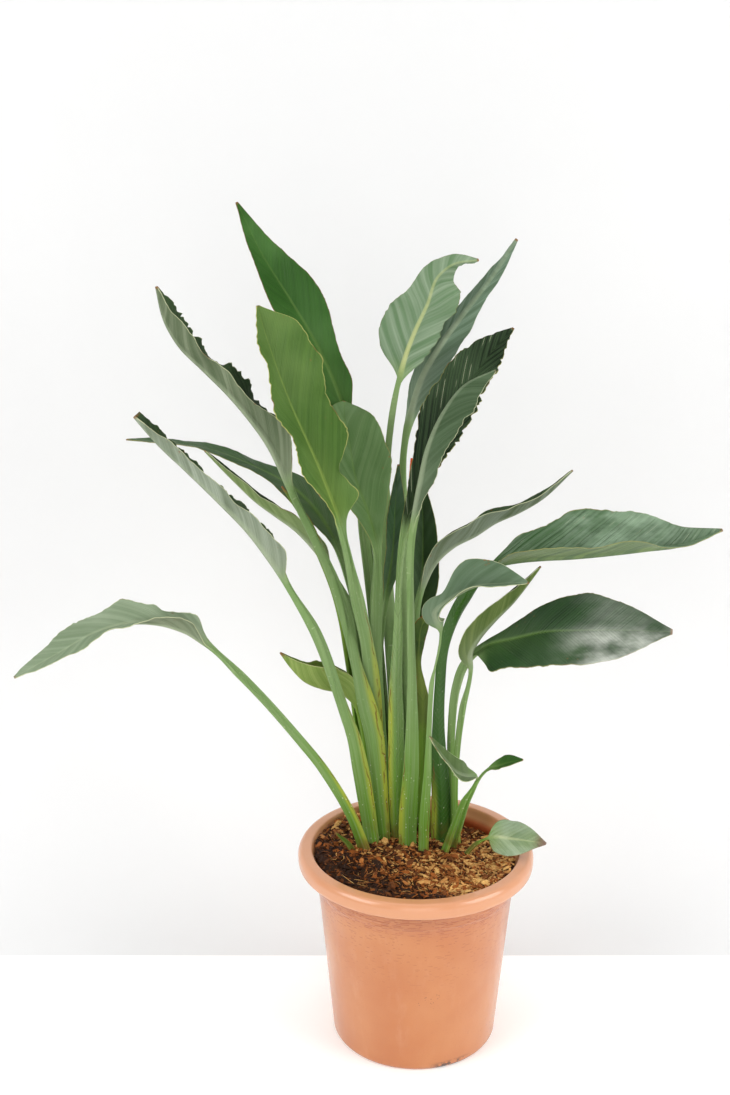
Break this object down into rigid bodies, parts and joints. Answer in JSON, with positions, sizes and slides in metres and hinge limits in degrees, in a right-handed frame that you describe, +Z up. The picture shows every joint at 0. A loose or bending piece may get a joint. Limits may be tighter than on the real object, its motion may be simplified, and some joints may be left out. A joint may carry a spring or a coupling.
{
  "type": "potted bird of paradise plant",
  "caption": "Bird of paradise plant: a clump of long-stalked paddle-shaped leaves rising from bark-covered soil in a round plastic nursery pot with a rolled rim",
  "frame": {"origin": "centre of the pot's flat underside, on the floor", "axes": "+X to the right and -Y towards the viewer of the picture, +Z up"},
  "size_m": [0.8114, 0.3664, 1.0741],
  "materials": {
    "pot": "satin terracotta-coloured plastic, scuffed and a little soiled",
    "soil": "coarse damp coir and bark chips over a root ball",
    "leaf": "leathery green leaf, glossier on the upper face, grey-green below",
    "bract": "yellow-green sheath"
  },
  "bodies": {
    "root": {"pot": "pot", "soil": "soil", "leaf_tallest": "leaf", "leaf_hooked": "leaf", "leaf_short_broad": "leaf", "leaf_upper_left": "leaf", "leaf_middle_left": "leaf", "leaf_back_left": "leaf", "leaf_narrow_left": "leaf", "leaf_low_left": "leaf", "bract_left": "bract", "leaf_top": "leaf", "leaf_upper_right": "leaf", "leaf_ribbed": "leaf", "leaf_twisted": "leaf", "leaf_back_right": "leaf", "leaf_narrow_right": "leaf", "leaf_upper_flat_right": "leaf", "leaf_drooping": "leaf", "leaf_lower_right": "leaf", "leaf_folded_right": "leaf", "leaf_small_left": "leaf", "leaf_small_right": "leaf", "leaf_rim": "leaf", "sprout_left": "bract", "bract_right": "bract", "leaf_middle_back": "leaf", "bract_red_tip": "bract", "bract_yellow": "bract"}
  },
  "joints": []
}
